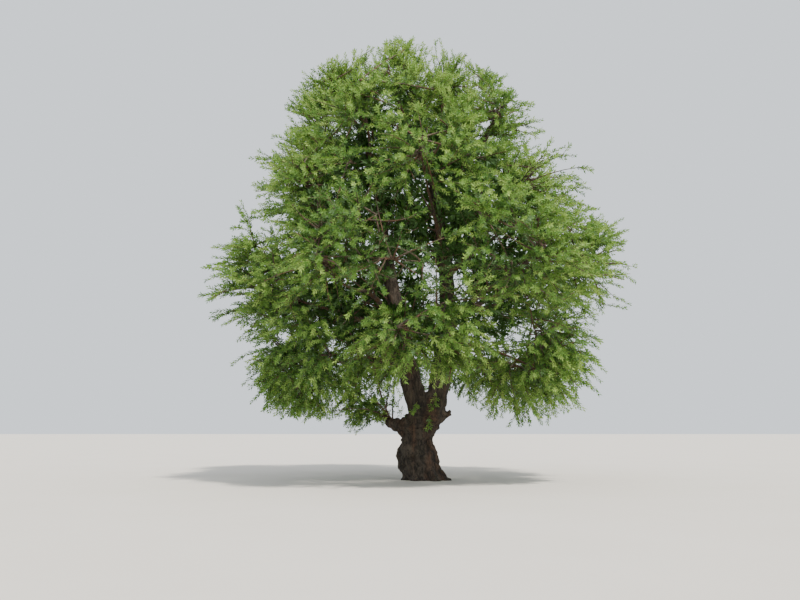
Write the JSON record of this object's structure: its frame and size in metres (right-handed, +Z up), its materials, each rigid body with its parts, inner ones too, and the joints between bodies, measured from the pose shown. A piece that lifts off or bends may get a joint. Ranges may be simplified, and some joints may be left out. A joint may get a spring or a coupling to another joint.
{
  "type": "neem tree",
  "caption": "Tall broad-crowned tree on one short gnarled trunk that flares at the foot and forks low, with rising limbs and rounded masses of fine foliage.",
  "frame": {"origin": "on the flat cut at ground level under the trunk, in the middle of the root flare", "axes": "+Z up along the trunk's height, +Y away from the picture's viewer, +X to the viewer's right"},
  "size_m": [13.5225, 13.6741, 14.2714],
  "materials": {
    "bark": "rough, deeply fissured grey-brown bark with reddish-brown ridges",
    "bough_bark": "rough, finely fissured grey-brown bark of the boughs",
    "foliage": "matt to slightly glossy yellow-green leaves on thin brown twigs"
  },
  "bodies": {
    "root": {"trunk": "bark", "leader_left": "bark", "leader_right": "bark", "bough_high_1": "bough_bark", "bough_high_2": "bough_bark", "bough_high_3": "bough_bark", "bough_high_4": "bough_bark", "bough_low_1": "bough_bark", "bough_low_2": "bough_bark", "bough_low_3": "bough_bark", "bough_low_4": "bough_bark", "bough_low_5": "bough_bark", "bough_low_6": "bough_bark", "bough_low_7": "bough_bark", "bough_mid_1": "bough_bark", "bough_mid_2": "bough_bark", "bough_mid_3": "bough_bark", "bough_mid_4": "bough_bark", "bough_mid_5": "bough_bark", "bough_mid_6": "bough_bark", "bough_skirt_1": "bough_bark", "bough_skirt_2": "bough_bark", "bough_skirt_3": "bough_bark", "bough_skirt_4": "bough_bark", "bough_skirt_5": "bough_bark", "bough_skirt_6": "bough_bark", "bough_stub_1": "bough_bark", "bough_top_1": "bough_bark", "bough_top_3": "bough_bark", "foliage_crest_1": "foliage", "foliage_high_1": "foliage", "foliage_high_2": "foliage", "foliage_high_3": "foliage", "foliage_high_4": "foliage", "foliage_low_1": "foliage", "foliage_low_2": "foliage", "foliage_low_3": "foliage", "foliage_low_4": "foliage", "foliage_low_5": "foliage", "foliage_low_6": "foliage", "foliage_low_7": "foliage", "foliage_mid_1": "foliage", "foliage_mid_2": "foliage", "foliage_mid_3": "foliage", "foliage_mid_4": "foliage", "foliage_mid_5": "foliage", "foliage_mid_6": "foliage", "foliage_skirt_1": "foliage", "foliage_skirt_2": "foliage", "foliage_skirt_3": "foliage", "foliage_skirt_4": "foliage", "foliage_skirt_5": "foliage", "foliage_skirt_6": "foliage", "foliage_stub_1": "foliage", "foliage_top_1": "foliage", "foliage_top_2": "foliage", "foliage_top_3": "foliage"}
  },
  "joints": []
}
